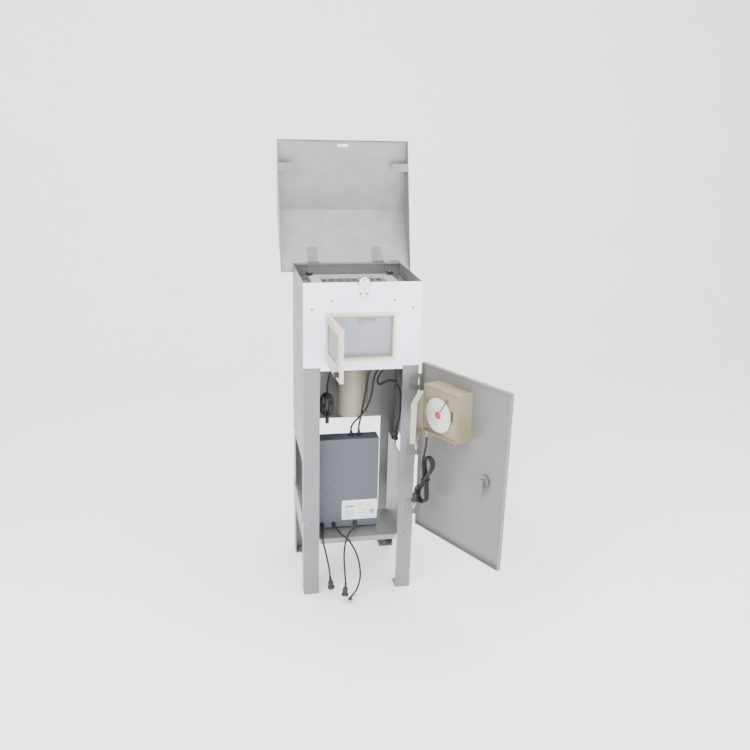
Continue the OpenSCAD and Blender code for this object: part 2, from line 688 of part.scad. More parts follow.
// A plug on the end of a cord, along +Z from the cord to its blades
module plug() {
  cylinder(r = 5, h = 14);
  translate([0, 0, 12]) cylinder(r = 10, h = 26);
  translate([0, 0, 36]) cylinder(r = 13, h = 10);
  for (x = [-6.3, 6.3]) translate([x - 0.8, -3, 44]) cube([1.6, 6, 17]);
}
module connector() {
  cylinder(r = 4.5, h = 10);
  translate([0, 0, 9]) cylinder(r = 7, h = 22);
}
function aim_y(v) = acos(v.z / norm(v));
function aim_z(v) = atan2(v.y, v.x);
module aim(from, along) translate(from) rotate([0, aim_y(along), aim_z(along)]) children();
module cord_ends() color("black") {
  aim(route_a[len(route_a) - 1], [-12, -28, -2]) connector();
  aim(route_b[len(route_b) - 1], [-5, -16, -50]) plug();
  aim(route_c[len(route_c) - 1], [4, -2, -45]) plug();
  aim(outlet_route[len(outlet_route) - 1], [-12, 0, -60]) plug();
  translate([-103, -80, 655]) rotate([180, 0, 0]) connector();
}

// Underside of the closed roof behind the ridge, at distance s in front of the hinge
function roof_n(s) = rear_n + (s + lid_rear) * (ridge_h - lid_t - rear_n) / (ridge_s + lid_rear);
module lid_shell() color("lightgray") on_lid() difference() {
  union() {
    along_x(lid_w) polygon([[-lid_rear, rear_n], [ridge_s, ridge_h - lid_t],
      [lid_front - lid_t, skirt - lid_t], [lid_front - lid_t, 0], [lid_front, 0], [lid_front, skirt],
      [ridge_s, ridge_h], [-lid_rear, rear_n + lid_t]]);
    for (x = [-1, 1]) translate([x * (lid_w - sheet) / 2, 0, 0]) along_x(sheet)
      polygon([[16 - lid_rear, 0], [-lid_rear, rear_n - 2], [-lid_rear, rear_n + 1],
        [ridge_s, ridge_h - 1], [lid_front - 1, skirt - 1], [lid_front - 1, 0]]);
    for (x = [-1, 1]) translate([x * (lid_w / 2 - 30), -339, 1.5]) cube([59, 28, 2], center = true);
  }
  translate([-20, -slot_s - 5, 0]) cube([40, 10, ridge_h]);
}
module lid_hinge_leaves() color("gray") on_lid() for (x = [-lid_hinge_x, lid_hinge_x])
  translate([x, 0, 0]) difference() {
    union() {
      along_x(18) polygon([[-1, 0], [1, 0], [1, roof_n(1) - 2], [3, roof_n(3) - 2], [-1, roof_n(-1)]]);
      along_x(38) polygon([[-1, roof_n(-1) - 2], [58, roof_n(58) - 2], [58, roof_n(58)], [-1, roof_n(-1)]]);
      translate([-9, 0, 0]) rod_x(lid_knuckle_r, 18);
    }
    translate([-10, 0, 0]) rod_x(lid_pin_r + running, 20);
  }

door_h = door_top - door_z;
module door_panel() color("whitesmoke") on_door() {
  difference() {
    translate([0, door_skin - door_depth, door_z]) cube([door_w, door_depth, door_h]);
    translate([sheet, -1, door_z + sheet]) cube([door_w - 2 * sheet, door_skin - sheet + 1, door_h - 2 * sheet]);
    translate([latch_s, door_skin - 4, latch_z]) rod_y(latch_r + running, 6);
  }
  for (z = door_hinge_z) translate([0, 0, z - 9.8]) difference() {
    union() {
      cylinder(r = door_knuckle_r, h = 19.6);
      translate([-0.6, 1, 0]) cube([2.2, 5, 19.6]);
    }
    translate([0, 0, -1]) cylinder(r = door_pin_r + running, h = 22);
  }
}
module door_latch() color("silver") on_door() translate([latch_s, 0, latch_z]) {
  translate([0, door_skin - sheet - 14, 0]) rod_y(latch_r, sheet + 22);
  translate([0, door_skin - sheet - 8, 0]) rod_y(20, 4);
  translate([0, door_skin + 4, 0]) rod_y(15, 5);
  translate([-8, -2, -52]) cube([16, 3, 60]);
  translate([0, -2, 0]) rod_y(latch_r, 12);
}

module recorder_case() color("beige") on_door() translate([rec_s, 0, rec_z]) {
  difference() {
    translate([0, -rec_front, 0]) cube([rec_w, rec_depth, rec_h]);
    translate([rec_wall, -rec_front - 1, rec_wall]) cube([rec_w - 2 * rec_wall, 13, rec_h - 2 * rec_wall]);
    translate([rec_wall, plate_y + rec_wall, rec_wall])
      cube([rec_w - 2 * rec_wall, rec_back - plate_y - 2 * rec_wall, rec_h - 2 * rec_wall]);
    translate([chart_s - rec_s, -rec_front + 10, chart_z - rec_z]) rod_y(3 + running, 12);
    translate([pen_s - rec_s, -rec_front + 10, pen_z - rec_z]) rod_y(2 + running, 12);
  }
  translate([rec_cord_route[0].x, rec_cord_route[0].y, 0]) rotate([180, 0, 0]) relief(relief_h);
  for (z = rec_knuckle_z) translate([0, -rec_front - 3, z]) {
    for (dz = [0, 14.2]) translate([0, 0, dz]) {
      cylinder(r = rec_knuckle_r, h = 6);
      translate([0, 0, 0]) cube([rec_knuckle_r, 3.5, 6]);
    }
    cylinder(r = rec_pin_r, h = 20);
  }
}
module recorder_door() color("beige") on_rec_door() {
  difference() {
    translate([rec_knuckle_r + 0.8, 2 - rec_door_t, rec_z + rec_wall]) cube([rec_door_w, rec_door_t, rec_door_h]);
    translate([rec_knuckle_r + 3.2, 4.5 - rec_door_t, rec_z + 2 * rec_wall])
      cube([rec_door_w - 4.8, rec_door_t, rec_door_h - 2 * rec_wall]);
  }
  for (z = rec_knuckle_z) translate([0, 0, rec_z + z + 6.3]) difference() {
    union() {
      cylinder(r = rec_knuckle_r, h = 7.6);
      translate([0, -rec_knuckle_r, 0]) cube([rec_knuckle_r + 1.5, rec_knuckle_r, 7.6]);
    }
    translate([0, 0, -1]) cylinder(r = rec_pin_r + running, h = 10);
  }
}
module chart() color("white") on_door() translate([chart_s, 0, chart_z]) {
  translate([0, plate_y - 5, 0]) rod_y(chart_d / 2, chart_t);
  translate([0, plate_y - 8, 0]) rod_y(6, 4);
  translate([0, plate_y - 5, 0]) rod_y(3, 14);
}
module pen_arm() color("dimgray") on_door() translate([pen_s, 0, pen_z]) {
  translate([0, plate_y - 8, 0]) rod_y(4.5, 7.6);
  translate([0, plate_y - 8, 0]) rod_y(2, 16);
  rotate([0, pen_lean, 0]) translate([-2, plate_y - 8, -pen_l]) cube([4, 1.4, pen_l]);
}

module recorder_cord() color("black") on_door() translate([rec_s, 0, 0])
  cord(rec_cord_route, cord_d / 2);
module recorder_hank() color("black") on_door() translate([rec_s, 0, 0])
  translate(hank_at) rotate([0, hank_lean, 0]) hank(hank_w, hank_h, hank_t, 16);
module recorder_plug() color("black") on_door() translate([rec_s, 0, 0])
  translate(plug_at) rotate([180, 0, 0]) plug();

leg_front_left();
leg_front_right();
leg_back_left();
leg_back_right();
front_panel();
side_panel_left();
side_panel_right();
back_panel();
side_rails();
controller_tray();
frame_screws();
catch_bracket();
hinge_bases();
filter_deck();
filter_gasket();
filter_screen();
hold_down_frame();
bolt_brackets();
funnel();
blower_housing();
motor_stator();
motor_bearings();
motor_rotor();
impeller();
control_box();
control_plate();
control_door();
control_window();
control_knob();
flow_controller();
flow_cover();
cord_glands();
motor_cord();
signal_cord();
outlet_cord();
hank_cord();
left_hank();
cord_a();
cord_b();
cord_c();
cord_ends();
lid_shell();
lid_hinge_leaves();
door_panel();
door_latch();
recorder_case();
recorder_door();
chart();
pen_arm();
recorder_cord();
recorder_hank();
recorder_plug();
swing_bolt_1();
swing_bolt_2();
swing_bolt_3();
swing_bolt_4();
bolt_knob_1();
bolt_knob_2();
bolt_knob_3();
bolt_knob_4();
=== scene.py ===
import json
import math
import bmesh
import bpy
from mathutils import Matrix, Vector


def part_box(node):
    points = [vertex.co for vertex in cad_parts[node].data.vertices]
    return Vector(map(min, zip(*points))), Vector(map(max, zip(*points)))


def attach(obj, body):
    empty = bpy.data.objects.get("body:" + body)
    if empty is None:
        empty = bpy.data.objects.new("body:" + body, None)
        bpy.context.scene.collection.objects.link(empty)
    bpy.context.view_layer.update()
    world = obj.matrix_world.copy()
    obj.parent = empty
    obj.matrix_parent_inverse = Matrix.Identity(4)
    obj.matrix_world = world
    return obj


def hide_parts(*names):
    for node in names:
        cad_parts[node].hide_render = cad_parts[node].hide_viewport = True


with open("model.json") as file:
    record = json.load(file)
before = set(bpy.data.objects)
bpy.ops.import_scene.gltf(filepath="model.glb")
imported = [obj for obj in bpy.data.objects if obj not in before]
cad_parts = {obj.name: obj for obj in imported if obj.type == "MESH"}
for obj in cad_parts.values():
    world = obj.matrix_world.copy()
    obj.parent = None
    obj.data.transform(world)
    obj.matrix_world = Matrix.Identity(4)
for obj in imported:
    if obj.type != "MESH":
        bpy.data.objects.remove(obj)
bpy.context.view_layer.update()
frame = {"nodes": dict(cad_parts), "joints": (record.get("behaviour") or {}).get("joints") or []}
NODES = frame["nodes"]
JOINTS = {joint["name"]: joint for joint in frame["joints"]}
MM = 0.001

# ---------------------------------------------------------------- camera

CAMERA_AT = (-0.4701, -2.7592, 1.6888)
CAMERA_TURN = (11.29, 18.07, 1.49)  # degrees: to the right, down and rolled
CAMERA_LENS = 39.45


def make_camera():
    azimuth, pitch, roll = (math.radians(a) for a in CAMERA_TURN)
    level = math.cos(pitch)
    forward = Vector((math.sin(azimuth) * level, math.cos(azimuth) * level, -math.sin(pitch)))
    level_right = forward.cross(Vector((0, 0, 1))).normalized()
    level_up = level_right.cross(forward)
    right = math.cos(roll) * level_right + math.sin(roll) * level_up
    up = -math.sin(roll) * level_right + math.cos(roll) * level_up
    data = bpy.data.cameras.new("camera")
    data.lens = CAMERA_LENS
    data.sensor_width = 36
    data.clip_end = 50
    camera = bpy.data.objects.new("camera", data)
    turn = Matrix((right, up, -forward)).transposed().to_4x4()
    camera.matrix_world = Matrix.Translation(CAMERA_AT) @ turn
    bpy.context.scene.collection.objects.link(camera)
    bpy.context.scene.camera = camera


make_camera()

# ---------------------------------------------------------------- the moving parts' own directions

# On the door: x runs along it from its hinge, -y faces out of its inner side and z is height.
DOOR_HINGE = JOINTS["front_door_hinge"]
DOOR_ANGLE = math.radians(180 + DOOR_HINGE["range_deg"][1])
DOOR_AXIS = Vector((DOOR_HINGE["pos_m"][0], DOOR_HINGE["pos_m"][1], 0))
ON_DOOR = Matrix.Translation(DOOR_AXIS) @ Matrix.Rotation(DOOR_ANGLE, 4, "Z")

# Along the door, the recorder's near side and its chart's centre.
REC_S = 0.075
CHART_S = REC_S + 0.0635
CHART_Z = 0.730
# How far the recorder's front stands in from the hinge, and how far its chart plate lies behind that.
REC_FRONT = 0.0476
PLATE_BACK = 0.012

# On the lid, at its hinge: -y runs over the closed lid to its front edge.
LID_HINGE = JOINTS["lid_hinge"]
LID_TURN = Matrix.Rotation(math.radians(-LID_HINGE["range_deg"][1]), 4, "X")
ON_LID = Matrix.Translation(LID_HINGE["pos_m"]) @ LID_TURN

# ---------------------------------------------------------------- materials


class Shade:
    """A node material built up step by step around one Principled shader."""

    def __init__(self, name, rough=0.5, metal=0.0, **constants):
        self.mat = bpy.data.materials.new(name)
        self.mat.use_nodes = True
        self.tree = self.mat.node_tree
        self.shader = self.tree.nodes["Principled BSDF"]
        self.shader.inputs["Roughness"].default_value = rough
        self.shader.inputs["Metallic"].default_value = metal
        for key, value in constants.items():
            self.shader.inputs[key.replace("_", " ")].default_value = value
        coords = self.tree.nodes.new("ShaderNodeTexCoord")
        self.where = coords.outputs["Object"]
        self.height = None

    def node(self, kind, inputs=(), **props):
        made = self.tree.nodes.new("ShaderNode" + kind)
        for key, value in props.items():
            setattr(made, key, value)
        for key, value in dict(inputs).items():
            if isinstance(value, bpy.types.NodeSocket):
                self.tree.links.new(value, made.inputs[key])
            else:
                made.inputs[key].default_value = value
        return made

    def maths(self, operation, *values):
        return self.node("Math", dict(enumerate(values)), operation=operation).outputs[0]

    def vector(self, operation, *values, gives="Value"):
        return self.node("VectorMath", dict(enumerate(values)), operation=operation).outputs[gives]

    def noise(self, scale, detail=4.0, stretch=(1, 1, 1)):
        where = self.node("Mapping", {"Vector": self.where, "Scale": stretch}).outputs[0]
        inputs = {"Vector": where, "Scale": scale, "Detail": detail, "Roughness": 0.55}
        return self.node("TexNoise", inputs).outputs["Fac"]

    def ramp(self, value, stops):
        made = self.node("ValToRGB", {"Fac": value})
        elements = made.color_ramp.elements
        while len(elements) < len(stops):
            elements.new(0.5)
        for element, (at, color) in zip(elements, stops):
            element.position = at
            element.color = (*color, 1) if len(color) == 3 else color
        return made.outputs["Color"]

    def level(self, value, low, high, to_low, to_high):
        inputs = {"Value": value, "From Min": low, "From Max": high, "To Min": to_low, "To Max": to_high}
        return self.node("MapRange", inputs).outputs["Result"]

    def color(self, socket):
        self.tree.links.new(socket, self.shader.inputs["Base Color"])

    def rough(self, socket):
        self.tree.links.new(socket, self.shader.inputs["Roughness"])

    def bump(self, value, strength, distance):
        inputs = {"Height": value, "Strength": strength, "Distance": distance}
        if self.height is not None:
            inputs["Normal"] = self.height
        self.height = self.node("Bump", inputs).outputs["Normal"]
        self.tree.links.new(self.height, self.shader.inputs["Normal"])

    def mix(self, fac, a, b, blend="MIX"):
        made = self.node("Mix", data_type="RGBA", blend_type=blend)
        for index, value in ((0, fac), (6, a), (7, b)):
            if isinstance(value, bpy.types.NodeSocket):
                self.tree.links.new(value, made.inputs[index])
            else:
                made.inputs[index].default_value = value if index == 0 else (*value, 1)
        return made.outputs[2]

    def worn_edge(self, color, edge_color):
        edge = self.level(self.node("NewGeometry").outputs["Pointiness"], 0.52, 0.58, 0, 1)
        return self.mix(self.maths("MULTIPLY", edge, self.noise(180, 3)), color, edge_color)


def tint(color, by):
    return tuple(min(1.0, c * by) for c in color)


def sheet_metal(name, color, rough, metal, grain=(4, 4, 160), haze=0.06):
    """Satin anodised or rolled sheet: fine grain one way, soft cloudy haze and handling marks."""
    s = Shade(name, rough, metal)
    cloud = s.noise(5, 5)
    lines = s.noise(14, 3, grain)
    base = s.ramp(cloud, [(0.3, tint(color, 1 - haze)), (0.7, tint(color, 1 + haze))])
    fine = s.ramp(lines, [(0.35, (0.93, 0.93, 0.93)), (0.65, (1, 1, 1))])
    base = s.mix(1.0, base, fine, "MULTIPLY")
    smudge = s.level(s.noise(16, 6), 0.35, 0.75, rough - 0.07, rough + 0.1)
    s.rough(smudge)
    s.color(base)
    s.bump(lines, 0.12, 0.0004)
    s.bump(s.noise(2.2, 2), 0.25, 0.004)
    return s.mat


def paint(name, color, rough, edge=(0.5, 0.5, 0.5), peel=900, peel_depth=0.0002, cloud=0.05):
    """Sprayed enamel with orange peel, faint dust and edges rubbed bare."""
    s = Shade(name, rough, Coat_Weight=0.04, Coat_Roughness=0.3, Specular_IOR_Level=0.28)
    tone = s.ramp(s.noise(9, 5), [(0.3, tint(color, 1 - cloud)), (0.7, tint(color, 1 + cloud))])
    s.color(s.worn_edge(tone, edge))
    s.rough(s.level(s.noise(30, 4), 0.3, 0.7, rough - 0.05, rough + 0.1))
    s.bump(s.noise(peel, 2), 0.35, peel_depth)
    return s.mat


def rubber(name, color=(0.018, 0.018, 0.02), rough=0.5, scale=700):
    s = Shade(name, rough, Specular_IOR_Level=0.3)
    s.color(s.ramp(s.noise(60, 5), [(0.3, color), (0.75, tint(color, 2.1))]))
    s.rough(s.level(s.noise(120, 4), 0.3, 0.7, rough - 0.1, rough + 0.12))
    s.bump(s.noise(scale, 3), 0.3, 0.0002)
    return s.mat


def steel(name, color, rough, metal=1.0):
    s = Shade(name, rough, metal)
    s.color(s.ramp(s.noise(70, 5), [(0.3, tint(color, 0.8)), (0.7, tint(color, 1.1))]))
    s.rough(s.level(s.noise(220, 3), 0.3, 0.7, rough - 0.08, rough + 0.12))
    s.bump(s.noise(400, 2), 0.2, 0.0001)
    return s.mat


def pane(name, color):
    """A hazy clear cover: smooth, with faint smears and dust."""
    s = Shade(name, 0.16, Specular_IOR_Level=0.4)
    s.color(s.ramp(s.noise(12, 6), [(0.3, tint(color, 0.85)), (0.7, tint(color, 1.2))]))
    s.rough(s.level(s.noise(25, 6, (1, 3, 1)), 0.3, 0.75, 0.1, 0.34))
    s.bump(s.noise(9, 2), 0.1, 0.0005)
    return s.mat


MATERIALS = {
    "aluminium": sheet_metal("aluminium", (0.21, 0.213, 0.208), 0.42, 0.55),
    # front_panel is the same aluminium as the sheets around it, made far paler: painted light where the key
    # light falls full on the front.
    "front_panel": sheet_metal("front_panel", (0.86, 0.82, 1.0), 0.5, 0.0),
    # The door's skin and the lid use darker copies of the same aluminium: painted shade on the open door's
    # inner side and inside the raised lid.
    "door_skin": sheet_metal("door_skin", (0.20, 0.197, 0.188), 0.45, 0.4),
    "lid": sheet_metal("lid", (0.225, 0.229, 0.227), 0.42, 0.55, grain=(160, 4, 4)),
    "leg": sheet_metal("leg", (0.18, 0.182, 0.188), 0.42, 0.4, grain=(160, 160, 3)),
    "frame": sheet_metal("frame", (0.62, 0.62, 0.63), 0.38, 0.6),
    "plate": sheet_metal("plate", (0.24, 0.258, 0.30), 0.36, 0.5, grain=(4, 4, 260)),
    "steel": steel("steel", (0.62, 0.62, 0.63), 0.32),
    "screw": steel("screw", (0.22, 0.22, 0.24), 0.45, 0.8),
    "dark_steel": steel("dark_steel", (0.17, 0.165, 0.16), 0.45, 0.7),
    "iron": steel("iron", (0.12, 0.10, 0.09), 0.55, 0.5),
    "copper": steel("copper", (0.55, 0.28, 0.15), 0.4),
    "brass": steel("brass", (0.75, 0.55, 0.25), 0.28),
    "cream": paint("cream", (0.52, 0.48, 0.36), 0.38, edge=(0.75, 0.73, 0.62)),
    # The control door is a darker copy of the control box's cream: painted shade on the open door, which
    # faces away from the light.
    "cream_in_shade": paint("cream_in_shade", (0.36, 0.325, 0.225), 0.4, edge=(0.66, 0.63, 0.52)),
    "recorder": paint("recorder", (0.22, 0.195, 0.115), 0.42, edge=(0.30, 0.28, 0.20)),
    "recorder_door": paint("recorder_door", (0.24, 0.22, 0.165), 0.42, edge=(0.40, 0.38, 0.30)),
    "blower": paint("blower", (0.23, 0.205, 0.155), 0.45, edge=(0.45, 0.43, 0.38)),
    "blue_grey": paint("blue_grey", (0.036, 0.041, 0.050), 0.5, edge=(0.12, 0.13, 0.15), peel=420,
                       peel_depth=0.0003, cloud=0.08),
    "black": rubber("black", (0.012, 0.012, 0.013), 0.4),
    "cord": rubber("cord", (0.010, 0.010, 0.011), 0.42, 900),
    "gasket": rubber("gasket", (0.03, 0.03, 0.03), 0.75, 500),
    # The window's dark grey is painted shade: it stands for the shaded panel seen through the clear cover.
    "pane": pane("pane", (0.075, 0.08, 0.072)),
    "label": paint("label", (0.72, 0.72, 0.74), 0.5, edge=(0.6, 0.6, 0.6), cloud=0.03),
    "ink": paint("ink", (0.012, 0.012, 0.016), 0.55, cloud=0.2),
    "pale_ink": paint("pale_ink", (0.09, 0.095, 0.12), 0.55, cloud=0.1),
    "tab": paint("tab", (0.85, 0.86, 0.88), 0.45),
    "red": paint("red", (0.42, 0.05, 0.04), 0.4, edge=(0.5, 0.2, 0.15)),
}


CHART_RING_RATE = 1250.0  # radians of the ring pattern in a metre
CHART_SPOKES = 24
CHART_HUB = 0.0195  # radius that is left unprinted


def chart_paper():
    """Chart paper: fine printed rings and time lines on warm white."""
    s = Shade("chart_paper", 0.75)
    across = Vector((math.cos(DOOR_ANGLE), math.sin(DOOR_ANGLE), 0))
    centre = ON_DOOR @ Vector((CHART_S, 0, CHART_Z))
    offset = s.vector("SUBTRACT", s.where, tuple(centre), gives="Vector")
    flat = s.node("CombineXYZ", {"X": s.vector("DOT_PRODUCT", offset, tuple(across)),
                                 "Y": s.vector("DOT_PRODUCT", offset, (0, 0, 1))}).outputs[0]
    radius = s.vector("LENGTH", flat)
    rings = s.maths("SINE", s.maths("MULTIPLY", radius, CHART_RING_RATE))
    angle = s.node("TexGradient", {"Vector": flat}, gradient_type="RADIAL").outputs["Fac"]
    spokes = s.maths("SINE", s.maths("MULTIPLY", angle, 2 * math.pi * CHART_SPOKES))
    lines = s.maths("MAXIMUM", s.level(rings, 0.75, 0.95, 0, 1), s.level(spokes, 0.95, 0.995, 0, 1))
    printed = s.maths("MULTIPLY", lines, s.level(radius, CHART_HUB, CHART_HUB + 0.0005, 0, 1))
    paper = s.ramp(s.noise(40, 5), [(0.3, (0.62, 0.61, 0.57)), (0.7, (0.68, 0.67, 0.63))])
    s.color(s.mix(s.level(printed, 0, 1, 0, 0.45), paper, (0.30, 0.36, 0.30)))
    s.bump(s.noise(600, 3), 0.1, 0.0001)
    return s.mat


MATERIALS["chart_paper"] = chart_paper()

LOOKS = {
    "aluminium": ["side_panel_left", "side_panel_right", "back_panel", "side_rails", "controller_tray",
                  "filter_deck", "funnel"],
    "front_panel": ["front_panel"],
    "door_skin": ["door_panel"],
    "lid": ["lid_shell"],
    "chart_paper": ["chart"],
    "leg": ["leg_front_left", "leg_front_right", "leg_back_left", "leg_back_right", "door_latch"],
    "frame": ["hold_down_frame", "catch_bracket"],
    "plate": ["control_plate"],
    "screw": ["frame_screws"],
    "steel": ["filter_screen", "motor_bearings", "pen_arm", "impeller",
              "swing_bolt_1", "swing_bolt_2", "swing_bolt_3", "swing_bolt_4"],
    "dark_steel": ["hinge_bases", "lid_hinge_leaves", "bolt_brackets"],
    "iron": ["motor_stator"],
    "copper": ["motor_rotor"],
    "cream": ["control_box"],
    "cream_in_shade": ["control_door"],
    "recorder": ["recorder_case"],
    "recorder_door": ["recorder_door"],
    "blower": ["blower_housing"],
    "blue_grey": ["flow_controller", "flow_cover"],
    "black": ["control_knob", "cord_glands", "bolt_knob_1", "bolt_knob_2", "bolt_knob_3", "bolt_knob_4"],
    "gasket": ["filter_gasket"],
    "pane": ["control_window"],
}


def dress_nodes():
    for look, names in LOOKS.items():
        for name in names:
            mesh = NODES[name].data
            mesh.materials.clear()
            mesh.materials.append(MATERIALS[look])


dress_nodes()

# ---------------------------------------------------------------- making pieces


def add(name, data, body, material):
    """Links one piece that rides a body; a mesh with looks of its own has None for its material."""
    piece = bpy.data.objects.new(name, data)
    bpy.context.scene.collection.objects.link(piece)
    if material:
        data.materials.append(MATERIALS[material])
    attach(piece, body)
    return piece


def place(mesh, matrix):
    mesh.transform(matrix)
    return mesh


def rounded_box(low, high, radius, segments=2):
    """A box with rounded edges between two corners."""
    bm = bmesh.new()
    bmesh.ops.create_cube(bm, size=1)
    low, high = Vector(low), Vector(high)
    for v in bm.verts:
        v.co = Vector([(low[i] + high[i]) / 2 + v.co[i] * (high[i] - low[i]) for i in range(3)])
    bmesh.ops.bevel(bm, geom=list(bm.edges), offset=radius, segments=segments, affect="EDGES",
                    profile=0.5)
    return bm


def lathe(profile, steps=48):
    """A closed turned form about Z through (radius, height) pairs."""
    bm = bmesh.new()
    rings = []
    for radius, height in profile:
        ring = []
        for k in range(steps):
            a = 2 * math.pi * k / steps
            ring.append(bm.verts.new((radius * math.cos(a), radius * math.sin(a), height)))
        rings.append(ring)
    for lower, upper in zip(rings, rings[1:]):
        for k in range(steps):
            bm.faces.new((lower[k], lower[(k + 1) % steps], upper[(k + 1) % steps], upper[k]))
    bm.faces.new(list(reversed(rings[0])))
    bm.faces.new(rings[-1])
    return bm


def to_mesh(name, *parts):
    """One mesh from several parts, smooth but for its edges."""
    whole = bmesh.new()
    for part in parts:
        scratch = bpy.data.meshes.new("scratch")
        part.to_mesh(scratch)
        part.free()
        whole.from_mesh(scratch)
        bpy.data.meshes.remove(scratch)
    mesh = bpy.data.meshes.new(name)
    whole.to_mesh(mesh)
    whole.free()
    mesh.shade_smooth()
    mesh.set_sharp_from_angle(angle=math.radians(35))
    return mesh


def moved(bm, x=0, y=0, z=0, turn=None):
    if turn:
        bmesh.ops.transform(bm, matrix=turn, verts=bm.verts)
    bmesh.ops.translate(bm, vec=(x, y, z), verts=bm.verts)
    return bm


# ---------------------------------------------------------------- cords

CORD_D = 0.007
# The routes are in millimetres; the recorder's is along its door, from the recorder's near side.
MOTOR = [(40, -161, 865), (40, -153, 851), (39, -132, 832), (38, -109, 812), (36, -92, 783),
         (33, -83, 745), (28, -78, 705), (22, -75, 665), (16, -75, 630), (12, -75, 606), (12, -75, 590)]
SIGNAL = [(62, -161, 865), (62, -153, 851), (62, -132, 832), (60, -111, 811), (57, -95, 780),
          (53, -91, 740), (44, -90, 700), (29, -88, 668), (8, -86, 642), (-8, -80, 622), (-15, -76, 606),
          (-16, -75, 590)]
OUTLET = [(84, -161, 865), (84, -153, 851), (82, -131, 831), (77, -107, 808), (72, -90, 780),
          (80, -80, 762), (97, -78, 768), (117, -77, 775), (138, -77, 768), (153, -77, 745),
          (159, -77, 710), (160, -77, 670), (158, -77, 630), (152, -77, 596)]
HANK_TOP = [(-100, -161, 865), (-100, -154, 850), (-101, -130, 825), (-102, -104, 797),
            (-103, -84, 768), (-102, -77, 740)]
RECORDER_LEAD = [(12, -38, 640), (12, -38, 624), (12, -40, 600), (11, -45, 575), (10, -49, 552)]
LEAD_A = [(-80, -125, 241), (-79, -136, 241), (-70, -152, 237), (-60, -170, 230), (-48, -184, 226),
          (-34, -196, 213), (-20, -204, 190), (-8, -209, 160), (0, -212, 125), (3, -214, 90), (0, -216, 60),
          (-9, -220, 35), (-20, -225, 20), (-32, -231, 10)]
LEAD_B = [(-2, -125, 241), (-5, -138, 242), (-17, -156, 242), (-32, -176, 240), (-44, -193, 230),
          (-52, -204, 208), (-56, -211, 180), (-57, -219, 150), (-56, -227, 120), (-55, -235, 95),
          (-54, -241, 76)]
LEAD_C = [(-122, -125, 241), (-123, -138, 240), (-126, -152, 237), (-130, -170, 230),
          (-130, -187, 222), (-126, -200, 203), (-120, -206, 175), (-114, -209, 145), (-109, -211, 115),
          (-106, -212, 88)]


def metres(points):
    return [Vector(p) * MM for p in points]


def smooth_path(points, steps=8):
    """A curve through every point, evenly rounded between them."""
    ends = [2 * points[0] - points[1]] + points + [2 * points[-1] - points[-2]]
    path = []
    for a, b, c, d in zip(ends, ends[1:], ends[2:], ends[3:]):
        for k in range(steps):
            t = k / steps
            path.append(0.5 * (2 * b + (c - a) * t + (2 * a - 5 * b + 4 * c - d) * t * t
                               + (3 * b - a - 3 * c + d) * t ** 3))
    path.append(points[-1])
    return path


def cord_piece(name, path, body, nodes):
    data = bpy.data.curves.new(name, "CURVE")
    data.dimensions = "3D"
    data.bevel_depth = CORD_D / 2
    data.bevel_resolution = 5
    data.use_fill_caps = True
    spline = data.splines.new("POLY")
    spline.points.add(len(path) - 1)
    for point, at in zip(spline.points, path):
        point.co = (*at, 1)
    spline.use_smooth = True
    piece = add(name, data, body, "cord")
    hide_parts(*nodes)


def hank_path(width, height, layers, pitch, waist):
    """Folded turns of a hank, hanging from (0, 0) and drawn together half way down."""
    r = width / 2 - CORD_D / 2 - 0.0003
    high, low = -width / 2, -height + width / 2
    middle = (high + low) / 2

    def pinch(z):
        t = min(1, abs(z - middle) / (high - middle))
        return waist + (r - waist) * (3 * t * t - 2 * t ** 3)

    path = []
    for layer in range(layers):
        depth = layer * pitch
        last = layer == layers - 1
        start = high if layer else middle
        stop = middle if last else low
        for k in range(21):
            z = start + (stop - start) * k / 20
            path.append(Vector((pinch(z), depth, z)))
        if last:
            break
        for k in range(1, 16):
            a = math.pi * k / 16
            path.append(Vector((r * math.cos(a), depth, low - r * math.sin(a))))
        for k in range(31):
            z = low + (high - low) * k / 30
            path.append(Vector((-pinch(z), depth + pitch * k / 30, z)))
        for k in range(1, 16):
            a = math.pi * k / 16
            path.append(Vector((-r * math.cos(a), depth + pitch, high + r * math.sin(a))))
    return path


def coil_path(radius, height, offset, loops):
    """Turns wound round an upright axis, each one turned further on, as in a loose ball of cord."""
    path = []
    tall = height / 2 - radius
    for k in range(loops * 48 + 1):
        a = 2 * math.pi * k / 48
        swing = math.pi / loops * k / 48
        z = radius * math.sin(a) + tall * math.tanh(2.2 * math.sin(a))
        at = Vector((radius * math.cos(a), offset, z))
        path.append(Matrix.Rotation(swing, 3, "Z") @ at)
    return path


def bend_between(a, a_way, b, b_way, steps=14):
    """A soft curve from a, leaving along a_way, to b, arriving along b_way."""
    reach = (b - a).length * 0.42
    p, q = a + a_way.normalized() * reach, b - b_way.normalized() * reach
    path = []
    for k in range(steps + 1):
        t = k / steps
        path.append(a * (1 - t) ** 3 + 3 * p * t * (1 - t) ** 2 + 3 * q * t * t * (1 - t) + b * t ** 3)
    return path


# ---------------------------------------------------------------- what is on the cords


def aim(start, along, mesh):
    """Places a mesh made along +Z so that it starts at a point and runs along a direction."""
    along = Vector(along).normalized()
    side = along.cross(Vector((0, 0, 1)))
    if side.length < 0.01:
        side = Vector((1, 0, 0))
    side.normalize()
    turn = Matrix((side, along.cross(side), along)).transposed().to_4x4()
    return place(mesh, Matrix.Translation(start) @ turn)


def two_looks(mesh, lower, upper, height):
    """One look up to a height along Z, and another above it."""
    mesh.materials.append(MATERIALS[lower])
    mesh.materials.append(MATERIALS[upper])
    for face in mesh.polygons:
        if face.center.z > height:
            face.material_index = 1
    return mesh


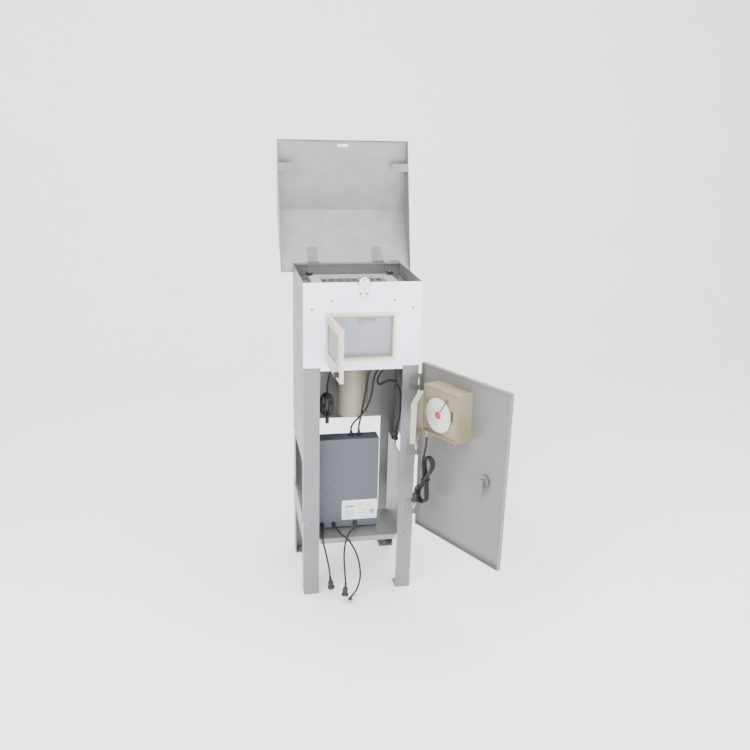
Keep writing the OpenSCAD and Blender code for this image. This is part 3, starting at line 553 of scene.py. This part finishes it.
def plug_mesh(name):
    """A moulded plug with a ribbed strain relief, a waisted grip and three blades."""
    relief = [(0.0047, 0.0)]
    for k in range(6):
        z = 0.0015 + k * 0.0021
        relief += [(0.0049 - 0.00001 * k, z), (0.0049, z + 0.0011), (0.0040, z + 0.0012),
                   (0.0040, z + 0.0019)]
    grip = [(0.0062, 0.0145), (0.0088, 0.0185), (0.0098, 0.024), (0.0094, 0.031), (0.0097, 0.0355)]
    face = [(0.0122, 0.0372), (0.0129, 0.0390), (0.0129, 0.0448), (0.0122, 0.0460)]
    body = lathe(relief + grip + face, 40)
    blades = [rounded_box((x - 0.0008, -0.003, 0.0450), (x + 0.0008, 0.003, 0.0608), 0.0004)
              for x in (-0.0063, 0.0063)]
    pin = moved(lathe([(0.0022, 0.0450), (0.0022, 0.0590), (0.0015, 0.0608)], 20), y=0.0078)
    return two_looks(to_mesh(name, body, pin, *blades), "black", "brass", 0.0462)


def connector_mesh(name):
    """A small round connector with a ridged ring and a steel front."""
    profile = [(0.0042, 0), (0.0045, 0.002), (0.0045, 0.0075), (0.0056, 0.0100), (0.0066, 0.0110)]
    for k in range(6):
        z = 0.0115 + k * 0.0020
        profile += [(0.0069, z), (0.0069, z + 0.0011), (0.0064, z + 0.0012), (0.0064, z + 0.0018)]
    profile += [(0.0066, 0.0245), (0.0066, 0.0280), (0.0058, 0.0282), (0.0058, 0.0308), (0.0040, 0.0309)]
    return two_looks(to_mesh(name, lathe(profile, 36)), "black", "steel", 0.0281)


def end_piece(name, maker, start, along, body):
    mesh = aim(Vector(start), along, maker(name))
    return add(name, mesh, body, None)


def tie_mesh(name, width, depth):
    """A wire tie wound twice round the waist of a hank, about Z."""
    around, sides, wire = 48, 8, 0.0011
    parts = []
    for level in (-0.0024, 0.0024):
        bm = bmesh.new()
        rings = []
        for k in range(around):
            a = 2 * math.pi * k / around
            out_x = math.copysign(abs(math.cos(a)) ** 0.5, math.cos(a))
            out_y = math.copysign(abs(math.sin(a)) ** 0.6, math.sin(a))
            ring = []
            for j in range(sides):
                b = 2 * math.pi * j / sides
                grow = wire * math.cos(b)
                at = ((width / 2 + grow) * out_x, (depth / 2 + grow) * out_y, level + wire * math.sin(b))
                ring.append(bm.verts.new(at))
            rings.append(ring)
        for ring, after in zip(rings, rings[1:] + rings[:1]):
            for j in range(sides):
                up = (j + 1) % sides
                bm.faces.new((ring[j], after[j], after[up], ring[up]))
        parts.append(bm)
    return to_mesh(name, *parts)


DOWN = Vector((0, 0, -1))
LEFT_HANK_MIDDLE = Vector((-0.103, -0.080, 0.695))
LEFT_END = Vector((-0.103, -0.080, 0.655))
# The recorder's hank, along the door from the recorder's near side.
HANK_PITCH = 0.0075
HANK_LAYERS = 4
HANK_MIDDLE = (HANK_LAYERS - 1) / 2 * HANK_PITCH
HANK_W = 0.050
HANK_H = 0.190
HANK_AT = Vector((REC_S + 0.051, -0.052, 0.580))
HANK_LEAN = math.radians(13.5)
RECORDER_END = Vector((REC_S + 0.008, -0.076, 0.452))


def whole_run(lead, turns, end):
    """A cord's lead, its turns, and its end hanging straight down, as one path."""
    into = bend_between(lead[-1], lead[-1] - lead[-2], turns[0], turns[1] - turns[0])
    out = bend_between(turns[-1], turns[-1] - turns[-2], end, DOWN)
    return lead + into[1:] + turns[1:] + out[1:]


def make_straight_leads():
    cord_piece("motor_lead", smooth_path(metres(MOTOR)), "shelter", ["motor_cord"])
    cord_piece("signal_lead", smooth_path(metres(SIGNAL)), "shelter", ["signal_cord"])
    ends = [end_piece(name, maker, Vector(route[-1]) * MM, along, "shelter")
            for name, route, maker, along in (
                ("lead_a_connector", LEAD_A, connector_mesh, (-12, -28, -2)),
                ("lead_b_plug", LEAD_B, plug_mesh, (-5, -16, -50)),
                ("lead_c_plug", LEAD_C, plug_mesh, (4, -2, -45)),
                ("outlet_plug", OUTLET, plug_mesh, (-12, 0, -60)))]
    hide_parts("cord_ends")
    cord_piece("lead_a", smooth_path(metres(LEAD_A)), "shelter", ["cord_a"])
    cord_piece("lead_b", smooth_path(metres(LEAD_B)), "shelter", ["cord_b"])
    cord_piece("lead_c", smooth_path(metres(LEAD_C)), "shelter", ["cord_c"])
    cord_piece("outlet_lead", smooth_path(metres(OUTLET)), "shelter", ["outlet_cord"])


def make_left_lead():
    turns = [LEFT_HANK_MIDDLE + p for p in coil_path(0.0215, 0.077, 0.010, 5)]
    whole = whole_run(smooth_path(metres(HANK_TOP)), turns, LEFT_END)
    connector = end_piece("left_connector", connector_mesh, LEFT_END, DOWN, "shelter")
    cord_piece("left_lead", whole, "shelter", ["hank_cord", "left_hank"])


def make_recorder_lead():
    hang = (Matrix.Translation(HANK_AT + Vector((0, HANK_MIDDLE, 0)))
            @ Matrix.Rotation(HANK_LEAN, 4, "Y"))
    folds = hank_path(HANK_W, HANK_H, HANK_LAYERS, HANK_PITCH, 0.0040)
    turns = [hang @ Vector((p.x, -p.y, p.z)) for p in folds]
    lead = smooth_path([p + Vector((REC_S, 0, 0)) for p in metres(RECORDER_LEAD)])
    whole = [ON_DOOR @ p for p in whole_run(lead, turns, RECORDER_END)]
    plug_shape = aim(RECORDER_END, DOWN, plug_mesh("recorder_lead_plug"))
    plug = add("recorder_lead_plug", place(plug_shape, ON_DOOR), "front_door", None)
    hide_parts("recorder_plug")
    waist = ON_DOOR @ hang @ Matrix.Translation((0, -HANK_MIDDLE, -HANK_H / 2))
    tie_shape = place(tie_mesh("recorder_tie", 0.0190, 0.0310), waist)
    tie = add("recorder_tie", tie_shape, "front_door", "black")
    cord_piece("recorder_lead", whole, "front_door", ["recorder_cord", "recorder_hank"])


make_straight_leads()
make_left_lead()
make_recorder_lead()

# ---------------------------------------------------------------- labels, marks and small parts


AT_REST = Matrix.Identity(4)
INK = 0.0003  # how far the printed marks stand out


def plates(name, boxes, matrix, body, material, radius=0.0001):
    """Several thin rounded plates given as pairs of corners, in one piece."""
    parts = [rounded_box(low, high, radius, 1) for low, high in boxes]
    return add(name, place(to_mesh(name, *parts), matrix), body, material)


def mark(left, right, low, high, face):
    """The corners of one printed mark on an upright face at y."""
    return ((left, face - INK, low), (right, face, high))


def text_rows(x, z, width, rows, pitch, face, height=0.0022, breaks=(0.0, 0.42, 0.50, 0.86)):
    """Marks that stand for rows of small print, with the gaps between words."""
    marks = []
    for row in range(rows):
        top = z - row * pitch
        for k, (a, b) in enumerate(zip(breaks[::2], breaks[1::2])):
            b = b - 0.08 * ((row + k) % 3)
            marks.append(mark(x + a * width, x + b * width, top - height, top, face))
    return marks


def make_cover_label():
    """The flow controller's pale label, with a dark heading and rows of small print."""
    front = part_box("flow_cover")[0][1]
    face = front - 0.0005
    sheet = [((-0.050, face, 0.254), (0.079, front, 0.331))]
    plates("cover_label", sheet, AT_REST, "shelter", "label", 0.0002)
    plates("label_heading", [mark(-0.036, -0.006, 0.302, 0.311, face)], AT_REST, "shelter", "ink")
    small = text_rows(0.004, 0.318, 0.066, 3, 0.0058, face)
    small += text_rows(-0.036, 0.294, 0.040, 5, 0.0058, face)
    small += text_rows(0.012, 0.296, 0.034, 4, 0.0056, face)
    small.append(mark(0.052, 0.070, 0.272, 0.292, face))
    plates("label_print", small, AT_REST, "shelter", "pale_ink")


def make_plate_print():
    """The control plate's heading bars and its rows of small print."""
    face = -0.159
    bars = [mark(-0.016, 0.050, 1.012, 1.025, face), mark(-0.016, 0.046, 1.004, 1.009, face)]
    plates("plate_heading", bars, AT_REST, "shelter", "ink")
    rows = [mark(0.006, 0.030, 0.994, 0.998, face), mark(0.044, 0.062, 0.966, 0.970, face),
            mark(0.050, 0.056, 0.954, 0.959, face)]
    rows += text_rows(-0.045, 0.985, 0.130, 1, 0.01, face, 0.0045, (0.0, 0.14, 0.17, 0.42, 0.46, 0.98))
    rows += text_rows(0.036, 0.946, 0.044, 3, 0.0075, face, 0.0020)
    plates("plate_print", rows, AT_REST, "shelter", "pale_ink")


def make_rest_pads():
    """Pale pads on the lid's two rests."""
    pads = [((x - 0.029, -0.352, 0.0026), (x + 0.029, -0.326, 0.0036)) for x in (-0.209, 0.209)]
    plates("rest_pads", pads, ON_LID, "lid", "tab", 0.0004)


def make_recorder_details():
    """The pen lifter, the range stud and the chart's red hub clip."""
    plate = -REC_FRONT + PLATE_BACK
    s, z = CHART_S, CHART_Z
    facing = Matrix.Rotation(math.radians(90), 4, "X")
    lifter = [((s + 0.0615, plate - 0.0100, z - 0.004), (s + 0.0645, plate, z + 0.030)),
              ((s + 0.0560, plate - 0.0100, z + 0.0275), (s + 0.0645, plate - 0.0085, z + 0.0300))]
    plates("pen_lifter", lifter, ON_DOOR, "front_door", "dark_steel", 0.0004)
    stud = lathe([(0.0042, 0), (0.0050, 0.0008), (0.0050, 0.0045), (0.0040, 0.0058)], 24)
    stud = moved(stud, turn=facing, x=s + 0.067, y=plate, z=z - 0.018)
    add("range_stud", place(to_mesh("range_stud", stud), ON_DOOR), "front_door", "steel")
    clip = lathe([(0.0125, 0), (0.0135, 0.0004), (0.0135, 0.0009), (0.0080, 0.0014), (0.0062, 0.0034),
                  (0.0048, 0.0040)], 40)
    clip = moved(clip, turn=facing, x=s, y=plate - 0.0052, z=z)
    add("hub_clip", place(to_mesh("hub_clip", clip), ON_DOOR), "chart_drive", "red")


make_cover_label()
make_plate_print()
make_rest_pads()
make_recorder_details()


def soften(names, width, segments=2):
    """Folded and pressed edges are never knife sharp."""
    for name in names:
        bevel = NODES[name].modifiers.new("soft_edge", "BEVEL")
        bevel.width = width
        bevel.segments = segments
        bevel.limit_method = "ANGLE"
        bevel.angle_limit = math.radians(40)


soften(["flow_controller", "flow_cover", "recorder_case", "recorder_door", "control_box",
        "control_door"], 0.0011)
soften(["blower_housing"], 0.0009)
soften(["hold_down_frame", "door_latch"], 0.0007)
soften(["front_panel", "door_panel", "lid_shell", "controller_tray", "leg_front_left",
        "leg_front_right"], 0.0004, 1)

# ---------------------------------------------------------------- floor and light


def make_stage():
    """A pale floor that sweeps up into the wall behind."""
    front, bend, radius, top = -6.0, 2.2, 1.6, 7.0
    profile = [(front, 0.0), (bend, 0.0)]
    for k in range(1, 17):
        a = math.pi / 2 * k / 16
        profile.append((bend + radius * math.sin(a), radius - radius * math.cos(a)))
    profile.append((bend + radius, top))
    bm = bmesh.new()
    rows = [[bm.verts.new((x, y, z - 0.0005)) for x in (-9, 9)] for y, z in profile]
    for low, high in zip(rows, rows[1:]):
        bm.faces.new((low[0], low[1], high[1], high[0]))
    mesh = to_mesh("studio_floor", bm)
    floor = bpy.data.objects.new("studio_floor", mesh)
    bpy.context.scene.collection.objects.link(floor)
    shade = Shade("floor_paper", 0.85)
    shade.color(shade.ramp(shade.noise(3, 3), [(0.3, (0.93, 0.93, 0.935)), (0.7, (0.95, 0.95, 0.955))]))
    mesh.materials.append(shade.mat)


def make_light(name, at, aim_at, size, power):
    data = bpy.data.lights.new(name, "AREA")
    data.shape = "RECTANGLE"
    data.size, data.size_y = size
    data.energy = power
    light = bpy.data.objects.new(name, data)
    turn = (Vector(aim_at) - Vector(at)).to_track_quat("-Z", "Y").to_matrix().to_4x4()
    light.matrix_world = Matrix.Translation(at) @ turn
    bpy.context.scene.collection.objects.link(light)


def make_lights():
    make_light("key", (-2.2, -2.6, 3.0), (0, 0, 0.7), (2.2, 2.2), 170)
    make_light("fill", (2.8, -2.2, 1.9), (0, 0, 0.7), (2.0, 2.4), 70)
    make_light("top", (0.2, -0.1, 3.6), (0, 0, 0.8), (2.8, 2.8), 110)
    make_light("front", (0.0, -3.6, 1.0), (0, 0, 0.6), (3.0, 1.6), 90)
    world = bpy.data.worlds.new("studio")
    world.use_nodes = True
    background = world.node_tree.nodes["Background"]
    background.inputs["Color"].default_value = (0.97, 0.98, 1.0, 1)
    background.inputs["Strength"].default_value = 1.9
    bpy.context.scene.world = world


make_stage()
make_lights()
